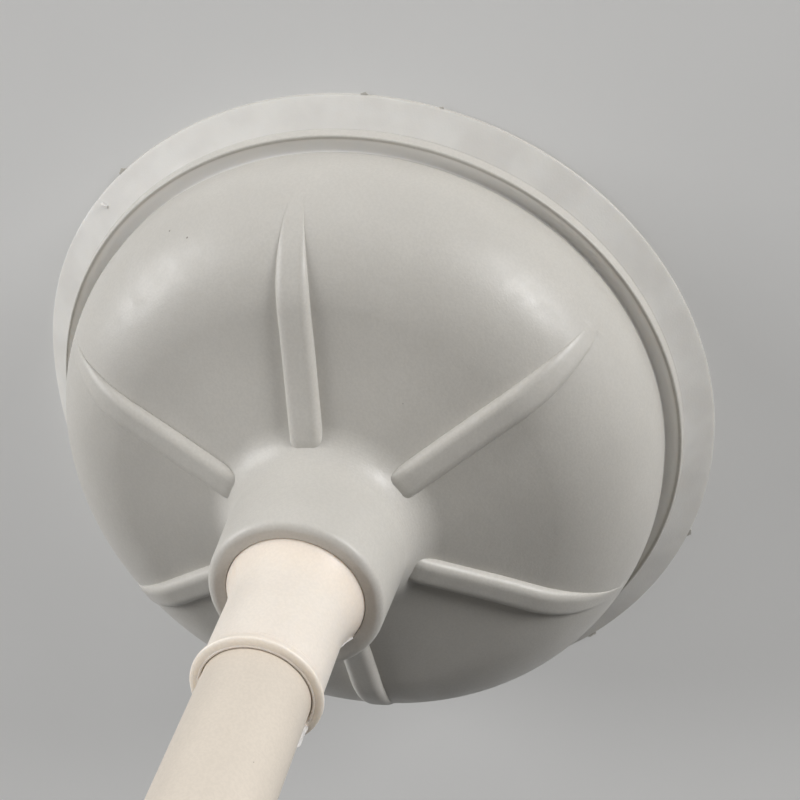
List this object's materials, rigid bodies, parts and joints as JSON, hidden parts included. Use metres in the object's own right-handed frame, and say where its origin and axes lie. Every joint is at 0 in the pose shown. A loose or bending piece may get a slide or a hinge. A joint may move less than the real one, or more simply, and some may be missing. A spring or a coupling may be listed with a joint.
{
  "type": "toilet plunger",
  "caption": "Toilet plunger: soft grey ribbed cup with thin lip and threaded collar, white plastic connector, cream tube handle, soft grip and end cap with hanging eye.",
  "frame": {"origin": "centre of the cup's mouth, in the plane that the lip rests on", "axes": "+Z along the handle, away from the cup; +X along one rib; +Y along the hanging eye's hole"},
  "size_m": [0.16, 0.16, 0.48],
  "materials": {
    "soft_grey_rubber": "satin, fine moulded surface",
    "warm_white_plastic": "smooth satin",
    "cream_paint": "satin powder coat"
  },
  "bodies": {
    "cup": {"suction_cup": "soft_grey_rubber"},
    "handle": {"connector": "warm_white_plastic", "handle_tube": "cream_paint", "hand_grip": "soft_grey_rubber", "end_cap": "warm_white_plastic"}
  },
  "joints": [
    {"name": "plunge", "type": "slide", "parent": "cup", "child": "handle", "axis": [0, 0, 1], "range_m": [-0.02, 0], "stiffness_N_per_m": 3000, "springref_m": 0.001, "deforming": ["suction_cup"]}
  ]
}
